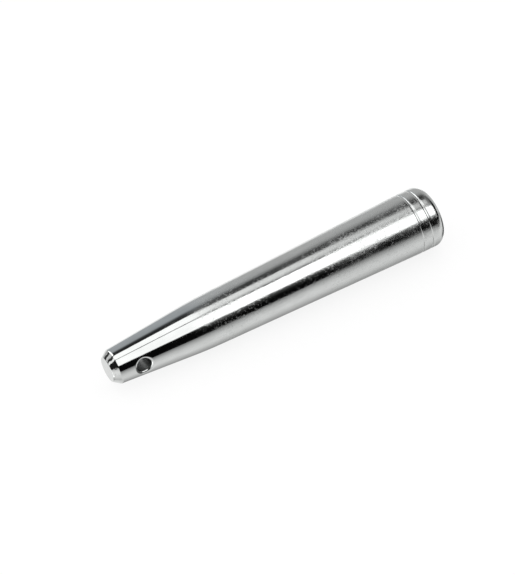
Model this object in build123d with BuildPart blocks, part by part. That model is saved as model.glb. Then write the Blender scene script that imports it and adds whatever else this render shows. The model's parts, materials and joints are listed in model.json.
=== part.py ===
from build123d import *
import os

# A tapered locking pin, turned from one steel bar and plated all over. It is driven into
# a joint from one side, wedges there on its long seat taper, and is kept in by a wire
# spring clip through the cross hole in its nose.
#
# Frame: X runs along the pin, from the thin end to the thick end. The origin is the
# middle of the seat taper, on the pin's axis. The clip hole runs along Y. Millimetres.

# Lengths along the pin, from the thin end
nose_length = 20.5  # steep lead-in taper, with the clip hole in it
seat_length = 50.0  # gentle taper that wedges in the joint
head_length = 5.5  # cylinder that stays outside, for driving the pin

# Diameters
tip_face_diameter = 5.25  # flat end face
tip_diameter = 7.4  # where the tip's chamfer meets the nose taper
neck_diameter = 10.5  # where the nose taper meets the seat taper
seat_taper = 1 / 20  # growth in diameter per length
head_diameter = neck_diameter + seat_length * seat_taper

# Edges
tip_chamfer_length = 1.5
tip_face_round = 0.25
tip_shoulder_round = 0.8
neck_blend_radius = 110.0  # long soft change from one taper to the other
head_round = 2.0

# Marking grooves around the head, each a shallow arc in section
groove_from_end = (5.5, 3.3)
groove_width = 0.6
groove_depth = 0.11

# Clip hole
clip_hole_from_tip = 6.5
clip_hole_diameter = 3.0
clip_hole_bevel = 0.5  # along the nose and along the bore

# Places along X
tip_x = -(seat_length / 2 + nose_length)
neck_x = -seat_length / 2
head_x = seat_length / 2
end_x = head_x + head_length


def half_section():
    """The blank's half section above the axis, to be turned about X."""
    corners = [
        (tip_x, 0),
        (tip_x, tip_face_diameter / 2),
        (tip_x + tip_chamfer_length, tip_diameter / 2),
        (neck_x, neck_diameter / 2),
        (head_x, head_diameter / 2),
        (end_x, head_diameter / 2),
        (end_x, 0),
    ]
    rounds = {
        corners[1]: tip_face_round,
        corners[2]: tip_shoulder_round,
        corners[3]: neck_blend_radius,
        corners[5]: head_round,
    }
    with BuildSketch(Plane.XZ) as section:
        with BuildLine():
            Polyline(*corners, close=True)
        make_face()
        for corner, radius in rounds.items():
            vertex = section.vertices().sort_by_distance((*corner, 0))[0]
            fillet(vertex, radius)
    return section.sketch


def groove_section(from_end):
    """One marking groove's section: the round tool that is fed into the head."""
    tool_radius = (groove_width**2 / 4 + groove_depth**2) / (2 * groove_depth)
    tool_height = head_diameter / 2 + tool_radius - groove_depth
    with BuildSketch(Plane.XZ) as section:
        with Locations((end_x - from_end, tool_height)):
            Circle(tool_radius)
    return section.sketch


with BuildPart() as locking_pin:
    revolve(half_section(), Axis.X)
    for from_end in groove_from_end:
        revolve(groove_section(from_end), Axis.X, mode=Mode.SUBTRACT)
    with Locations(Plane.XZ.move(Location((tip_x + clip_hole_from_tip, 0, 0)))):
        Hole(clip_hole_diameter / 2)
    rims = locking_pin.edges(Select.LAST).filter_by(GeomType.LINE, reverse=True)
    chamfer(rims, clip_hole_bevel)
locking_pin.part.label = "locking_pin"

os.makedirs("parts", exist_ok=True)
export_step(locking_pin.part, "parts/locking_pin.step")
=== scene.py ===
import bmesh
import bpy
import json
import math
from mathutils import Matrix, Vector


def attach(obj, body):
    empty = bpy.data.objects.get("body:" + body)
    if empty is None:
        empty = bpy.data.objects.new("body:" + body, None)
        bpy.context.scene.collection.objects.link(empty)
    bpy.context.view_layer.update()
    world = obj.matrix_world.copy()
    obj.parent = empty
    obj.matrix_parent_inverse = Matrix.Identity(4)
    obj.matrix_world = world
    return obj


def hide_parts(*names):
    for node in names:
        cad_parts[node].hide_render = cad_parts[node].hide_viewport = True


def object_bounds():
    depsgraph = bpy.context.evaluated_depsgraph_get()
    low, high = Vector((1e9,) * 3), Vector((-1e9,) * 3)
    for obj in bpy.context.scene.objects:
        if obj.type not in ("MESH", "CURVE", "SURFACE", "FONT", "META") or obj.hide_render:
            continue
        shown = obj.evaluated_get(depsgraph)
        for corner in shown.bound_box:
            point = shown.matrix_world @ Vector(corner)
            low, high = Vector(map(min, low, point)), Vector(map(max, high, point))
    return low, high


# A tapered locking pin of plated steel, lying on its side on a pale floor. The CAD node gives
# its place and its main sizes; its surface is built again here as one closed mesh of fine
# quads, so that reflections run true along it.

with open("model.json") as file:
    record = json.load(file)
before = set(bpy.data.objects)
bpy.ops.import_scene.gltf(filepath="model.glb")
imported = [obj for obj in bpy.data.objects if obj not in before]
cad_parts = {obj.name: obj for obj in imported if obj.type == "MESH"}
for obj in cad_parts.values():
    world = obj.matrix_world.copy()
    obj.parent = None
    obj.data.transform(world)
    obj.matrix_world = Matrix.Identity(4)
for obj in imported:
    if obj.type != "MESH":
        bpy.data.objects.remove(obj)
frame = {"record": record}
cad_low, cad_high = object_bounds()

MM = 0.001
mounts = {mount["name"]: mount for mount in frame["record"]["mounts"]}

# ---------------------------------------------------------------- sizes of the pin

# From the frame
tip_x, end_x = cad_low.x, cad_high.x
head_radius = cad_high.y
seat_middle_x = mounts["taper_seat"]["pos_m"][0]
hole_x = mounts["clip_hole"]["pos_m"][0]
hole_radius = mounts["clip_hole"]["dims"]["r_mm"] * MM

# The seat taper
seat_length = 50.0 * MM
seat_slope = 1 / 40  # growth in radius per length
neck_x = seat_middle_x - seat_length / 2
head_x = seat_middle_x + seat_length / 2
neck_radius = head_radius - seat_length * seat_slope

# The nose
tip_face_radius = 2.625 * MM
tip_radius = 3.7 * MM
shoulder_x = tip_x + 1.5 * MM
nose_slope = (neck_radius - tip_radius) / (neck_x - shoulder_x)

# Rounded corners
tip_face_round = 0.25 * MM
shoulder_round = 0.8 * MM
neck_round = 110.0 * MM
head_round = 2.0 * MM
hole_bevel = 0.5 * MM  # along the surface and along the bore
hole_bevel_bulge = 0.1 * MM

# Marking grooves
grooves_from_end = (5.5 * MM, 3.3 * MM)
groove_width = 0.6 * MM
groove_depth = 0.11 * MM
groove_edge_softness = 0.012 * MM

# Fineness of the mesh
around = 192  # quads around the pin
ring_gap = 0.25 * MM  # longest quad along the pin
groove_ring_gap = 0.04 * MM
arc_steps = 10  # quads across a rounded corner
hole_margin = 0.75 * MM  # from the hole's rim to the plain grid
mouth_loops = 7  # loops of quads that lead from the plain grid to the rim
rim_steps = 8
bore_steps = 24


# ---------------------------------------------------------------- the turned outline

def rounded_corner(before, corner, after, radius):
    """The arc that rounds an outward corner of the outline, as points."""
    into = (corner - before).normalized()
    out_of = (after - corner).normalized()
    start_angle = math.atan2(into.x, -into.y)  # directions of the outward normals
    stop_angle = math.atan2(out_of.x, -out_of.y)
    setback = radius * math.tan((start_angle - stop_angle) / 2)
    centre = corner - into * setback - Vector((-into.y, into.x)) * radius
    points = []
    for step in range(arc_steps + 1):
        angle = start_angle + (stop_angle - start_angle) * step / arc_steps
        points.append(centre + radius * Vector((math.cos(angle), math.sin(angle))))
    return points


def groove_dip(x):
    """How deep the marking grooves cut at x, with their edges slightly rounded."""
    dip = 0
    for from_end in grooves_from_end:
        reach = (x - (end_x - from_end)) / (groove_width / 2)
        cut = groove_depth * (1 - reach**2)
        dip += (cut + math.hypot(cut, groove_edge_softness)) / 2
    return dip


def near_groove(x):
    return any(abs(x - (end_x - from_end)) < 0.7 * groove_width for from_end in grooves_from_end)


def turned_outline():
    """The half section from the tip's centre to the end's centre, as (x, radius) points."""
    corners = [
        (Vector((tip_x, 0)), 0),
        (Vector((tip_x, tip_face_radius)), tip_face_round),
        (Vector((shoulder_x, tip_radius)), shoulder_round),
        (Vector((neck_x, neck_radius)), neck_round),
        (Vector((head_x, head_radius)), 0),
        (Vector((end_x, head_radius)), head_round),
        (Vector((end_x, 0)), 0),
    ]
    points = [corners[0][0]]
    for (before, _), (corner, radius), (after, _) in zip(corners, corners[1:], corners[2:]):
        points += rounded_corner(before, corner, after, radius) if radius else [corner]
    points.append(corners[-1][0])

    fine = [points[0]]
    for start, stop in zip(points, points[1:]):
        gap_count = math.ceil((stop - start).length / ring_gap)
        for step in range(1, gap_count + 1):
            point = start.lerp(stop, step / gap_count)
            previous = fine[-1]
            if near_groove(point.x) and point.x > previous.x:
                extra = math.ceil((point.x - previous.x) / groove_ring_gap)
                fine += [previous.lerp(point, part / extra) for part in range(1, extra)]
            fine.append(point)
    return [Vector((p.x, p.y - groove_dip(p.x))) if near_groove(p.x) else p for p in fine]


# ---------------------------------------------------------------- the pin's mesh

def surface_height(x, z):
    """Distance of the nose's surface from the plane Y = 0, above the point (x, z)."""
    radius = tip_radius + (x - shoulder_x) * nose_slope
    return math.sqrt(radius**2 - z**2)


def rim_section(turn):
    """Section of the hole's bevelled rim, in the plane at this turn about the hole's axis, as
    (distance from the hole's axis, height) points from the nose's surface to the bore."""
    def height(distance):
        return surface_height(hole_x + distance * math.cos(turn), distance * math.sin(turn))

    fall = (height(hole_radius) - height(hole_radius + hole_bevel)) / hole_bevel
    reach = hole_radius + hole_bevel * math.cos(math.atan(fall))
    start = Vector((reach, height(reach)))
    stop = Vector((hole_radius, height(hole_radius) - hole_bevel))
    bulge = Vector((stop.y - start.y, start.x - stop.x)).normalized() * hole_bevel_bulge
    points = []
    for step in range(rim_steps + 1):
        part = step / rim_steps
        points.append(start.lerp(stop, part) + bulge * 4 * part * (1 - part))
    return points


def join_loops(mesh, first, second):
    """A closed band of quads between two loops of vertices."""
    for index in range(len(first)):
        after = (index + 1) % len(first)
        mesh.faces.new((first[index], first[after], second[after], second[index]))


def make_mouth(mesh, border, side):
    """Loops of quads from the border of the plain grid over the hole's rim, on one side
    (-1 or 1 along Y). Returns the loop where the rim meets the bore."""
    turns = [math.atan2(v.co.z, v.co.x - hole_x) for v in border]
    reaches = [math.hypot(v.co.z, v.co.x - hole_x) for v in border]
    rims = [rim_section(turn) for turn in turns]

    def loop(distances, heights):
        made = []
        for turn, distance, height in zip(turns, distances, heights):
            x = hole_x + distance * math.cos(turn)
            made.append(mesh.verts.new((x, side * height, distance * math.sin(turn))))
        return made

    last = border
    for step in range(1, mouth_loops):
        part = step / mouth_loops
        distances = [reach + (rim[0][0] - reach) * part for reach, rim in zip(reaches, rims)]
        heights = [surface_height(hole_x + distance * math.cos(turn), distance * math.sin(turn))
                   for distance, turn in zip(distances, turns)]
        following = loop(distances, heights)
        join_loops(mesh, last, following)
        last = following
    for step in range(rim_steps + 1):
        following = loop([rim[step][0] for rim in rims], [rim[step][1] for rim in rims])
        join_loops(mesh, last, following)
        last = following
    return last


def pin_mesh():
    """The closed surface: a plain grid of rings with a block left out around each mouth of the
    hole, loops of quads that lead from the block's border to the rim, and the bore."""
    mesh = bmesh.new()
    outline = turned_outline()
    rings = outline[1:-1]
    block_reach = hole_radius + hole_margin
    first_ring = max(i for i, p in enumerate(rings) if p.x < hole_x - block_reach)
    last_ring = min(i for i, p in enumerate(rings) if p.x > hole_x + block_reach)
    block_angle = math.asin(block_reach / surface_height(hole_x, 0))
    half_block = math.ceil(block_angle / (2 * math.pi / around))

    made = {}

    def vertex(ring, segment):
        key = ring, segment % around
        if key not in made:
            angle = 2 * math.pi * segment / around  # 0 faces -Y, and a quarter turn faces +Z
            x, radius = rings[ring]
            made[key] = mesh.verts.new((x, -radius * math.cos(angle), radius * math.sin(angle)))
        return made[key]

    def in_block(ring, segment):
        offset = segment % (around // 2)
        near = offset < half_block or offset >= around // 2 - half_block
        return near and first_ring <= ring < last_ring

    for ring in range(len(rings) - 1):
        for segment in range(around):
            if not in_block(ring, segment):
                mesh.faces.new((vertex(ring, segment), vertex(ring, segment + 1),
                                vertex(ring + 1, segment + 1), vertex(ring + 1, segment)))
    # A small fan closes each end at the axis.
    for ring, centre in ((0, outline[0]), (len(rings) - 1, outline[-1])):
        middle = mesh.verts.new((centre.x, 0, 0))
        for segment in range(around):
            mesh.faces.new((middle, vertex(ring, segment), vertex(ring, segment + 1)))

    border = [(ring, -half_block) for ring in range(first_ring, last_ring)]
    border += [(last_ring, step) for step in range(-half_block, half_block)]
    border += [(ring, half_block) for ring in range(last_ring, first_ring, -1)]
    border += [(first_ring, step) for step in range(half_block, -half_block, -1)]
    front = [vertex(ring, step) for ring, step in border]
    back = [vertex(ring, around // 2 - step) for ring, step in border]
    last = front_rim = make_mouth(mesh, front, -1)
    back_rim = make_mouth(mesh, back, 1)
    for step in range(1, bore_steps):
        following = [mesh.verts.new(a.co.lerp(b.co, step / bore_steps))
                     for a, b in zip(front_rim, back_rim)]
        join_loops(mesh, last, following)
        last = following
    join_loops(mesh, last, back_rim)
    bmesh.ops.recalc_face_normals(mesh, faces=mesh.faces)
    for face in mesh.faces:
        face.smooth = True
    return mesh


def make_pin():
    mesh = pin_mesh()
    data = bpy.data.meshes.new("locking_pin_body")
    mesh.to_mesh(data)
    mesh.free()
    pin = bpy.data.objects.new("locking_pin_body", data)
    bpy.context.scene.collection.objects.link(pin)
    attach(pin, "root")
    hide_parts("locking_pin")
    return pin


pin = make_pin()


# ---------------------------------------------------------------- materials

def new_material(name):
    material = bpy.data.materials.new(name)
    material.use_nodes = True
    return material


def add_node(material, kind, inputs=(), **settings):
    """A node with its settings made; inputs are (name, number or other node's output) pairs."""
    node = material.node_tree.nodes.new(kind)
    for name, value in settings.items():
        setattr(node, name, value)
    for name, value in inputs:
        feed(material, node.inputs[name], value)
    return node


def feed(material, socket, value):
    if isinstance(value, bpy.types.NodeSocket):
        material.node_tree.links.new(value, socket)
    else:
        socket.default_value = value


def calculate(material, operation, *values):
    inputs = enumerate(values)
    return add_node(material, "ShaderNodeMath", inputs, operation=operation).outputs["Value"]


def rescale(material, value, low, high, new_low=0.0, new_high=1.0):
    """Maps low...high to new_low...new_high and stops there at both ends."""
    inputs = [("Value", value), ("From Min", low), ("From Max", high),
              ("To Min", new_low), ("To Max", new_high)]
    return add_node(material, "ShaderNodeMapRange", inputs).outputs["Result"]


def speckle(material, place, size, detail=2.0, stretch=(1, 1, 1), seed=0.0):
    """Cloudy noise in 0...1 with clouds of about this size in millimetres."""
    scaled = add_node(material, "ShaderNodeMapping", [("Vector", place), ("Scale", stretch)])
    inputs = [("Vector", scaled.outputs["Vector"]), ("Scale", 1 / size), ("Detail", detail),
              ("W", seed)]
    cloud = add_node(material, "ShaderNodeTexNoise", inputs, noise_dimensions="4D")
    return cloud.outputs["Fac"]


def curve_along(material, value, stops):
    """A number that follows (position, value) stops along the pin, in millimetres."""
    low, high = stops[0][0], stops[-1][0]
    ramp = add_node(material, "ShaderNodeValToRGB", [("Fac", rescale(material, value, low, high))])
    while len(ramp.color_ramp.elements) < len(stops):
        ramp.color_ramp.elements.new(0.5)
    for element, (position, level) in zip(ramp.color_ramp.elements, stops):
        element.position = (position - low) / (high - low)
        element.color = (level, level, level, 1)
    return ramp.outputs["Color"]


def total(material, *values):
    result = values[0]
    for value in values[1:]:
        result = calculate(material, "ADD", result, value)
    return result


def product(material, *values):
    result = values[0]
    for value in values[1:]:
        result = calculate(material, "MULTIPLY", result, value)
    return result


def place_in_mm(material):
    local = add_node(material, "ShaderNodeTexCoord").outputs["Object"]
    inputs = [(0, local), ("Scale", 1 / MM)]
    return add_node(material, "ShaderNodeVectorMath", inputs, operation="SCALE").outputs["Vector"]


def distance_from_axis(material, place):
    inputs = [(0, place), (1, (0, 1, 1))]
    across = add_node(material, "ShaderNodeVectorMath", inputs, operation="MULTIPLY")
    inputs = [(0, across.outputs["Vector"])]
    return add_node(material, "ShaderNodeVectorMath", inputs, operation="LENGTH").outputs["Value"]


plating_colour = (0.795, 0.81, 0.80)
haze_along = [(-46, 0.06), (-29, 0.08), (-20, 0.13), (-12, 0.05), (-2, 0.06), (6, 0.17),
              (12, 0.21), (23, 0.22), (27, 0.17), (31, 0.13)]  # roughness of the plating
pitting_along = [(-46, 0.0), (-27, 0.02), (-23, 0.24), (-14, 0.24), (-9, 0.16), (8, 0.17),
                 (14, 0.14), (31, 0.18)]  # extra roughness in the pits
bore_roughness = 0.45
bore_painted_shade = (0.85, 0.3)  # painted shade of the bore: its colour factor on the side of the tip and of the head
# colour factor of the painted shade on the hole's rim, at the tip's side
rim_painted_shade_level = 0.1
seat_relief = 3.0  # micrometres
nose_relief_share = 0.2
rim_relief = 12.0  # micrometres
chamfer_relief = 3.0  # micrometres
chamfer_dents = 40.0  # micrometres
tip_face_relief_share = 0.15
under_tip_relief_share = 0.2
facing_mark_gap = 0.42  # millimetres
facing_mark_relief = 1.6  # micrometres


def plated_steel():
    """Bright plating: nearly a mirror on the nose and hazier towards the head, with fine pits
    in patches from the neck on, rougher edges, a rough bore with painted shade that darkens it
    towards the head, painted shade on the hole's rim at the tip's side, and lathe marks on the
    end."""
    steel = new_material("plated_steel")
    shader = steel.node_tree.nodes["Principled BSDF"]
    place = place_in_mm(steel)
    split = add_node(steel, "ShaderNodeSeparateXYZ", [("Vector", place)])
    along, up = split.outputs["X"], split.outputs["Z"]

    # Where things are: distances in millimetres, and zones as numbers in 0...1
    rim_radius = hole_radius / MM
    past_hole = calculate(steel, "SUBTRACT", along, hole_x / MM)
    square = total(steel, product(steel, past_hole, past_hole), product(steel, up, up))
    from_hole = calculate(steel, "SQRT", square)
    bore = rescale(steel, from_hole, rim_radius + 0.03, rim_radius + 0.005)
    rim = rescale(steel, from_hole, rim_radius + 0.4, rim_radius + 0.2)
    end_face = rescale(steel, along, end_x / MM - 0.05, end_x / MM - 0.02)
    off_end_face = rescale(steel, end_face, 0, 1, 1, 0)

    # What the plating looks like close up
    patches = speckle(steel, place, 2.2, detail=3, stretch=(0.6, 1, 1))
    grain = speckle(steel, place, 0.5, seed=3)
    streaks = speckle(steel, place, 0.4, stretch=(0.2, 1, 1), seed=7)
    pits = rescale(steel, speckle(steel, place, 0.5, seed=11), 0.48, 0.62)
    pitted = rescale(steel, speckle(steel, place, 2.0, seed=5), 0.36, 0.56, 0.2, 1)
    pits = product(steel, pits, pitted, off_end_face)

    haze = product(steel, curve_along(steel, along, haze_along),
                   rescale(steel, patches, 0.3, 0.7, 0.7, 1.3))
    roughness = total(steel, haze, product(steel, pits, curve_along(steel, along, pitting_along)))
    roughness = calculate(steel, "MAXIMUM", roughness, product(steel, bore, bore_roughness))
    feed(steel, shader.inputs["Roughness"], roughness)

    # Painted shade: the bore darkens from the tip's side towards the head's side, and the hole's
    # rim is darkened on the side of the tip.
    # painted shade: the bore's colour factor falls from the tip's side to the head's side
    bore_shade_factor = rescale(steel, past_hole, -0.8 * rim_radius, 0.8 * rim_radius, *bore_painted_shade)
    rim_side = total(steel, past_hole, product(steel, up, 0.4))
    # mask of the painted shade on the rim, at the tip's side
    rim_painted_shade = product(steel, rescale(steel, rim_side, 0.2 - rim_radius, -0.2 - rim_radius),
                      rescale(steel, from_hole, rim_radius + 0.6, rim_radius + 0.4))
    shade = product(steel,
                    total(steel, rescale(steel, streaks, 0.3, 0.7, -0.02, 0.02),
                          rescale(steel, patches, 0.3, 0.7, 0.95, 1.05)),
                    rescale(steel, bore, 0, 1, 1, bore_shade_factor),
                    rescale(steel, rim_painted_shade, 0, 1, 1, rim_painted_shade_level))
    inputs = [(0, plating_colour), ("Scale", shade)]
    colour = add_node(steel, "ShaderNodeVectorMath", inputs, operation="SCALE").outputs["Vector"]
    feed(steel, shader.inputs["Base Color"], colour)
    feed(steel, shader.inputs["Metallic"], 1)

    # The chamfer and the hole's rim are the least even, and the nose is the smoothest.
    past_neck = rescale(steel, along, neck_x / MM - 2, neck_x / MM + 3, nose_relief_share, 1)
    chamfer = product(steel,
                      rescale(steel, along, shoulder_x / MM + 0.1, shoulder_x / MM - 0.1),
                      rescale(steel, along, tip_x / MM + 0.05, tip_x / MM + 0.3,
                              tip_face_relief_share, 1),
                      rescale(steel, up, -2, -0.5, under_tip_relief_share, 1))
    edges = calculate(steel, "MAXIMUM", product(steel, chamfer, chamfer_relief),
                      product(steel, rim, rim_relief))
    relief = total(steel, product(steel, past_neck, seat_relief), edges)
    unevenness = total(steel, product(steel, rescale(steel, streaks, 0.42, 0.62), 0.7),
                       calculate(steel, "SUBTRACT", grain, pits))
    dents = speckle(steel, place, 1.0, detail=1, seed=21)

    # The thick end's face keeps the rings that facing it off on the lathe left.
    wobble = product(steel, patches, 0.25)
    ring = total(steel, distance_from_axis(steel, place), wobble)
    marks = calculate(steel, "SINE", product(steel, ring, 2 * math.pi / facing_mark_gap))
    height = total(steel, product(steel, unevenness, relief),
                   product(steel, dents, chamfer, chamfer_dents),
                   product(steel, marks, end_face, facing_mark_relief))
    inputs = [("Strength", 1.0), ("Distance", MM / 1000), ("Height", height)]
    bump = add_node(steel, "ShaderNodeBump", inputs)
    feed(steel, shader.inputs["Normal"], bump.outputs["Normal"])
    return steel


pin.data.materials.append(plated_steel())


# ---------------------------------------------------------------- studio

plating_brightness = 0.80  # the part of the light that the plating gives back

# The brightness that the pin mirrors, as (elevation, brightness) stops around the X axis:
# 0 is level with the pin in front, 90 overhead, 180 level behind, and below 0 is the floor.
# There is a black card low in front, the main soft box above it, another soft box overhead
# and a black card behind that one.
floor_glow = [(-180, 0.72), (-140, 0.72), (-128, 0.32), (-112, 0.27), (-95, 0.38), (-80, 0.50),
              (-66, 0.60), (-52, 0.59), (-38, 0.52), (-28, 0.40), (-19, 0.27), (-13, 0.16)]
low_front = floor_glow + [(-12, 0.002), (24, 0.002)]
soft_front = floor_glow + [(-12, 0.002), (4, 0.002), (9, 0.007), (14, 0.025), (18, 0.055),
                           (24, 0.15)]
low_chamfer = [(-180, 0.62), (-106, 0.6), (-102, 1.3), (-62, 1.3), (-57, 0.7), (-20, 0.7),
               (3, 0.5), (7, 0.2), (8, 0.01)]
high_chamfer = [(76, 0.01), (78, 0.8), (98, 0.8), (101, 0.02), (114, 0.02), (117, 0.4),
                (140, 0.6), (144, 0.03), (160, 0.03), (168, 0.3), (180, 0.38)]
chamfer_glow = low_chamfer + high_chamfer
flank_glow = low_front + high_chamfer
shoulder_glow = low_front + [(27, 0.96), (65, 0.96), (65.5, 0.0), (68.5, 0.0), (69, 0.98),
                             (93, 0.98), (94, 0.05), (101, 0.05), (102, 1.5), (158, 1.5),
                             (164, 0.36), (180, 0.36)]
nose_glow = low_front + [(27, 0.96), (65, 0.96), (65.5, 0.0), (68.5, 0.0), (69, 0.98),
                         (96, 0.98), (97, 0.03), (103, 0.015), (112, 0.02), (115, 0.05),
                         (120, 0.13), (124, 0.25), (131, 0.3), (180, 0.34)]
neck_glow = soft_front + [(27, 1.1), (63.5, 1.1), (64, 0.1), (68, 0.1), (69, 0.5), (74, 0.75),
                          (80, 0.86), (92, 0.82), (95, 0.17), (112, 0.14), (117, 0.18),
                          (122, 0.26), (128, 0.3), (180, 0.33)]
seat_glow = soft_front + [(27, 1.25), (62.5, 1.25), (63, 0.1), (66, 0.15), (69, 0.42),
                          (78, 0.64), (92, 0.63), (95.5, 0.025), (112, 0.025), (121, 0.19),
                          (130, 0.3), (143, 0.355), (180, 0.36)]
head_glow = soft_front + [(25.5, 1.25), (62.5, 1.25), (63, 0.1), (68, 0.15), (72, 0.38),
                          (80, 0.55), (90, 0.5), (94, 0.02), (112, 0.02), (121, 0.19),
                          (130, 0.3), (143, 0.36), (180, 0.37)]
round_glow = [(-60, 0.66), (-40, 0.62), (-28, 0.45), (-20, 0.002), (24, 0.002), (25.5, 1.25),
              (62.5, 1.25), (63.5, 0.25), (80, 0.16), (98, 0.12), (112, 0.08), (121, 0.19),
              (143, 0.36), (180, 0.37)]
rim_glow = floor_glow + [(-12, 0.0), (94, 0.0), (112, 0.1), (121, 0.2), (145, 0.38),
                         (180, 0.38)]
end_glow = [(-180, 0.55), (180, 0.55)]


def with_back_card(card_level, glow):
    """The same glow with another brightness of the black card behind the overhead box."""
    low, high = 93, 113
    return [(place, card_level if low < place < high else level) for place, level in glow]


def with_low_back(low_stops, glow):
    """The same glow with other brightness under the pin and low down behind it."""
    return low_stops + [stop for stop in glow if stop[0] > low_stops[-1][0]]


light_back = with_low_back([(-180, 0.95), (-121, 0.95), (-117, 0.3)], round_glow)
dark_low_stops = [(-180, 0.5), (-130, 0.3), (-127, 0.02), (-92, 0.02), (-86, 0.4)]
dark_back = with_low_back(dark_low_stops, round_glow)
dark_back_rim = with_low_back(dark_low_stops, rim_glow)
light_low_stops = [(-180, 0.72), (-132, 0.65), (-112, 0.62), (-95, 0.56), (-80, 0.52)]
light_shoulder = with_low_back(light_low_stops, shoulder_glow)
light_nose = with_low_back(light_low_stops, nose_glow)

# Where each of them holds, by how far a direction leans to the thick end: the sine of its
# angle from straight across the pin. The tip's chamfer mirrors the negative leans. Then come
# the nose, the neck, the seat and the head, and the head's rounded edge mirrors the rest.
studio_glow = [
    (-1.0, chamfer_glow), (-0.74, chamfer_glow),
    (-0.68, flank_glow), (-0.44, flank_glow),
    (-0.38, light_shoulder), (-0.13, light_shoulder),
    (-0.06, light_nose), (0.0, light_nose),
    (0.06, nose_glow), (0.11, nose_glow),
    (0.17, neck_glow),
    (0.235, seat_glow), (0.27, with_back_card(0.08, seat_glow)),
    (0.30, with_back_card(0.04, head_glow)), (0.33, with_back_card(0.01, head_glow)),
    (0.40, head_glow),
    (0.50, light_back), (0.60, light_back),
    (0.68, dark_back), (0.79, dark_back),
    (0.82, dark_back_rim), (0.94, dark_back_rim),
    (0.97, rim_glow), (0.992, rim_glow),
    (0.996, end_glow), (1.0, end_glow),
]


def between(stops, value):
    """The level at this value between (place, level) stops."""
    for (low, low_level), (high, high_level) in zip(stops, stops[1:]):
        if value <= high:
            return low_level + (high_level - low_level) * (value - low) / (high - low)
    return stops[-1][1]


def make_tent():
    """The light tent and its black cards, seen only in reflections: a sphere around the pin
    that glows as the studio does in each direction."""
    tent_radius = 0.8
    pole_radius = 0.1 * MM  # keeps the quads at the two ends open
    widest_slice = 0.06
    roll = 4.5  # degrees, of the whole studio about the X axis
    bluish = [(-0.1, 0), (-0.05, 0.05), (0.15, 0.05), (0.27, 0)]  # by lean
    bluish_above = 105  # degrees, which is behind the pin
    mesh = bmesh.new()
    glow = mesh.verts.layers.float_color.new("glow")
    leans = []
    for (low, _), (high, _) in zip(studio_glow, studio_glow[1:]):
        steps = math.ceil((high - low) / widest_slice)
        leans += [low + (high - low) * step / steps for step in range(steps)]
    leans.append(1.0)
    columns = []
    for lean in leans:
        ring = tent_radius * math.sqrt(1 - lean**2) + pole_radius
        before = max(i for i, (place, _) in enumerate(studio_glow[:-1]) if place <= lean)
        (low, low_stops), (high, high_stops) = studio_glow[before:before + 2]
        column = []
        for elevation in range(-180, 181):
            angle = math.radians(elevation + roll)
            vert = mesh.verts.new((tent_radius * lean, -ring * math.cos(angle),
                                   ring * math.sin(angle)))
            first, second = between(low_stops, elevation), between(high_stops, elevation)
            level = first + (second - first) * (lean - low) / (high - low)
            cool = max(0, between(bluish, lean)) if elevation > bluish_above else 0
            vert[glow] = (level * (1 - cool), level, level * (1 + cool), 1)
            column.append(vert)
        columns.append(column)
    for first, second in zip(columns, columns[1:]):
        for row in range(360):
            face = mesh.faces.new((first[row], second[row], second[row + 1], first[row + 1]))
            face.smooth = True
    data = bpy.data.meshes.new("tent")
    mesh.to_mesh(data)
    mesh.free()
    tent = bpy.data.objects.new("tent", data)
    bpy.context.scene.collection.objects.link(tent)

    cloth = new_material("tent")
    cloth.node_tree.nodes.remove(cloth.node_tree.nodes["Principled BSDF"])
    shade = add_node(cloth, "ShaderNodeAttribute", attribute_name="glow").outputs["Color"]
    inputs = [("Color", shade), ("Strength", 1 / plating_brightness)]
    light = add_node(cloth, "ShaderNodeEmission", inputs)
    cloth.node_tree.links.new(light.outputs["Emission"],
                              cloth.node_tree.nodes["Material Output"].inputs["Surface"])
    data.materials.append(cloth)
    tent.visible_camera = False
    tent.visible_diffuse = False
    tent.visible_shadow = False


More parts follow.
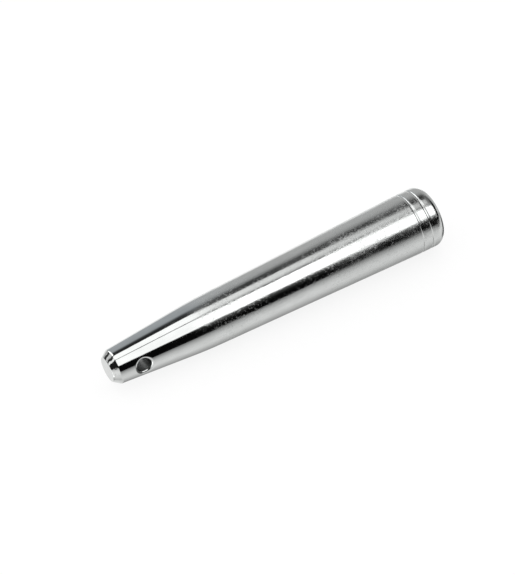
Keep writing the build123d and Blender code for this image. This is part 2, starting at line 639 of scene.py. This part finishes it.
def make_floor():
    """A plain pale floor that glows a little, so that it stays white and shadows stay faint.
    It leans, because the tapered pin lies on its head and on the thin end of its seat."""
    half_width = 2.0
    mesh = bmesh.new()
    bmesh.ops.create_grid(mesh, x_segments=1, y_segments=1, size=half_width)
    data = bpy.data.meshes.new("floor")
    mesh.to_mesh(data)
    mesh.free()
    floor = bpy.data.objects.new("floor", data)
    bpy.context.scene.collection.objects.link(floor)
    lean = math.atan2(head_radius - neck_radius, head_x - neck_x)
    floor.matrix_world = (Matrix.Translation((head_x, 0, -head_radius))
                          @ Matrix.Rotation(lean, 4, "Y"))
    material = new_material("floor")
    shader = material.node_tree.nodes["Principled BSDF"]
    feed(material, shader.inputs["Base Color"], (0.2, 0.2, 0.2, 1))
    feed(material, shader.inputs["Emission Color"], (1, 1, 1, 1))
    feed(material, shader.inputs["Emission Strength"], 0.82)
    feed(material, shader.inputs["Roughness"], 0.9)
    feed(material, shader.inputs["Specular IOR Level"], 0.0)
    data.materials.append(material)
    floor.visible_glossy = False


def make_sky():
    """Even white light from all around, which the pin's plating doesn't mirror."""
    world = bpy.data.worlds.new("studio")
    bpy.context.scene.world = world
    world.use_nodes = True
    background = world.node_tree.nodes["Background"]
    background.inputs["Color"].default_value = (1, 1, 1, 1)
    background.inputs["Strength"].default_value = 1.0
    world.cycles_visibility.glossy = False


def make_camera():
    """The camera looks down on the pin from in front, a little from the thin end's side."""
    azimuth, elevation = math.radians(-21.90), math.radians(37.23)
    pin_rise = math.radians(25.767)  # how steeply the pin rises across the picture
    distance = 525.5 * MM
    lens = 162.8
    picture_middle_x = -4.94 * MM
    aim_right, aim_up = -5.214 * MM, -0.568 * MM

    back = Vector((math.sin(azimuth) * math.cos(elevation),
                   -math.cos(azimuth) * math.cos(elevation), math.sin(elevation)))
    along = (Vector((1, 0, 0)) - back * back.x).normalized()
    across = back.cross(along)
    right = along * math.cos(pin_rise) - across * math.sin(pin_rise)
    up = along * math.sin(pin_rise) + across * math.cos(pin_rise)
    aim = Vector((picture_middle_x, 0, 0)) + right * aim_right + up * aim_up

    camera = bpy.data.objects.new("camera", bpy.data.cameras.new("camera"))
    bpy.context.scene.collection.objects.link(camera)
    turn = Matrix((right, up, back)).transposed().to_4x4()
    camera.matrix_world = Matrix.Translation(aim + back * distance) @ turn
    camera.data.sensor_width = 36
    camera.data.lens = lens
    camera.data.clip_start = 0.01
    bpy.context.scene.camera = camera


make_tent()
make_floor()
make_sky()
make_camera()
bpy.context.scene.view_settings.view_transform = "Standard"
